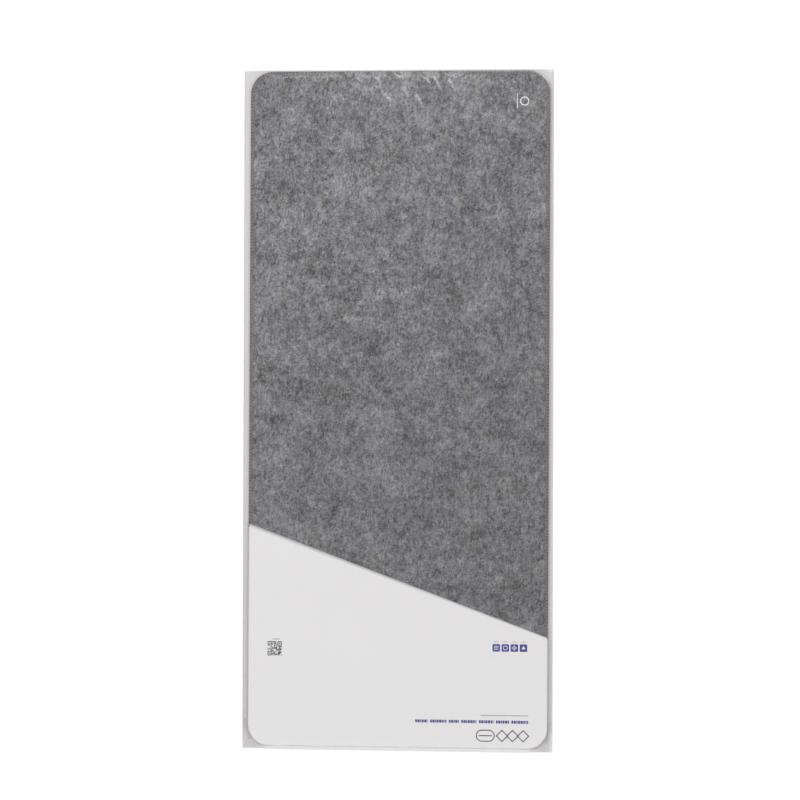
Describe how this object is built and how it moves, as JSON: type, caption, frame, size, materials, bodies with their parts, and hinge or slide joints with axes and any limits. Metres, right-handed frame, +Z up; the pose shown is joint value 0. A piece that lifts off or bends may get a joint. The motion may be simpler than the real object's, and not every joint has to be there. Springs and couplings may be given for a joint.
{
  "type": "desk mat",
  "caption": "Felt desk mat with an overlocked edge and rubber backing, packed flat with a slanted board card in a clear film bag that closes with a folded lip.",
  "frame": {"origin": "under the middle of the packed object, at desk level", "axes": "+X along the mat towards the bag's mouth and the card, +Y across to the mat's far long side, +Z up, the felt's way"},
  "size_m": [0.9068, 0.4136, 0.005],
  "materials": {
    "felt": "matte",
    "rubber": "matte",
    "bond": "matte",
    "thread": "satin",
    "mark_ink": "matte",
    "card_board": "satin",
    "bag_film": "gloss",
    "adhesive": "satin"
  },
  "bodies": {
    "mat": {"rubber_base": "rubber", "bonding_film": "bond", "felt_top": "felt", "needle_thread": "thread", "upper_looper_thread": "thread", "lower_looper_thread": "thread", "corner_mark": "mark_ink"},
    "card": {"insert_card": "card_board"},
    "bag": {"bag_front_film": "bag_film", "bag_back_film": "bag_film", "bag_near_seam": "bag_film", "bag_far_seam": "bag_film", "bag_end_fold": "bag_film", "bag_mouth_film": "bag_film"},
    "lip": {"bag_lip": "bag_film", "adhesive_strip": "adhesive"}
  },
  "joints": [
    {"name": "bag_slide", "type": "slide", "parent": "mat", "child": "bag", "axis": [-1, 0, 0], "range_m": [0, 0.98], "deforming": ["bag_mouth_film"]},
    {"name": "card_slide", "type": "slide", "parent": "mat", "child": "card", "axis": [-1, 0, 0], "range_m": [0, 0.59]},
    {"name": "lip_crease", "type": "hinge", "parent": "bag", "child": "lip", "pos_m": [0.45335, 0, 0.0002], "axis": [0, -1, 0], "range_deg": [0, 180]}
  ]
}
